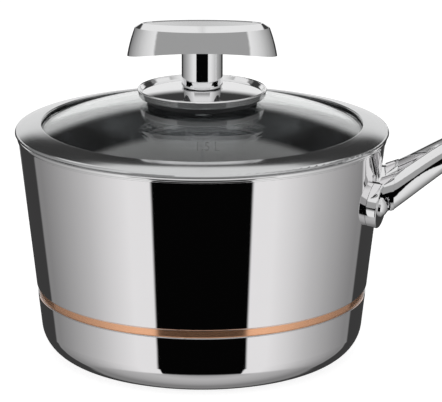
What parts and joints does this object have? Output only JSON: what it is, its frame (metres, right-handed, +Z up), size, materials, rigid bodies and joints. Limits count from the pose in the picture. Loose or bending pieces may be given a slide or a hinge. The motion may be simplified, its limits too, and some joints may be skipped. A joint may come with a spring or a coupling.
{
  "type": "saucepan with glass lid",
  "caption": "Tapered steel saucepan with an exposed copper band, a forked stick handle, and a steel-rimmed glass lid with an oval pull.",
  "frame": {"origin": "centre of the pan's underside, on the surface it stands on", "axes": "+Z up along the pan's axis, +X along the handle"},
  "size_m": [0.3762, 0.182, 0.1654],
  "materials": {
    "polished_steel": "mirror polished",
    "satin_steel": "satin",
    "aluminium": "plain",
    "copper": "turned copper",
    "glass": "clear",
    "silicone": "matte"
  },
  "bodies": {
    "pan": {"outer_aluminium_base": "aluminium", "outer_steel_base": "polished_steel", "inner_steel_liner": "satin_steel", "inner_aluminium_layer": "aluminium", "copper_core": "copper", "outer_aluminium_wall": "aluminium", "outer_steel_wall": "polished_steel", "handle_rivets": "polished_steel", "handle_foot_front": "polished_steel", "handle_foot_rear": "polished_steel", "handle_fork": "polished_steel", "handle_grip_tube": "polished_steel", "handle_hanging_end": "polished_steel"},
    "lid": {"lid_rim_ring": "polished_steel", "lid_glass": "glass", "glass_edge_seal": "silicone", "knob_upper_gasket": "silicone", "knob_lower_gasket": "silicone", "knob_washer": "satin_steel", "knob_screw": "satin_steel", "knob_base_disc": "polished_steel", "knob_stem": "polished_steel", "knob_pull": "polished_steel", "knob_top_plate": "satin_steel"}
  },
  "joints": [
    {"name": "lid_lift", "type": "slide", "parent": "pan", "child": "lid", "axis": [0, 0, 1], "range_m": [0, 0.1]}
  ]
}
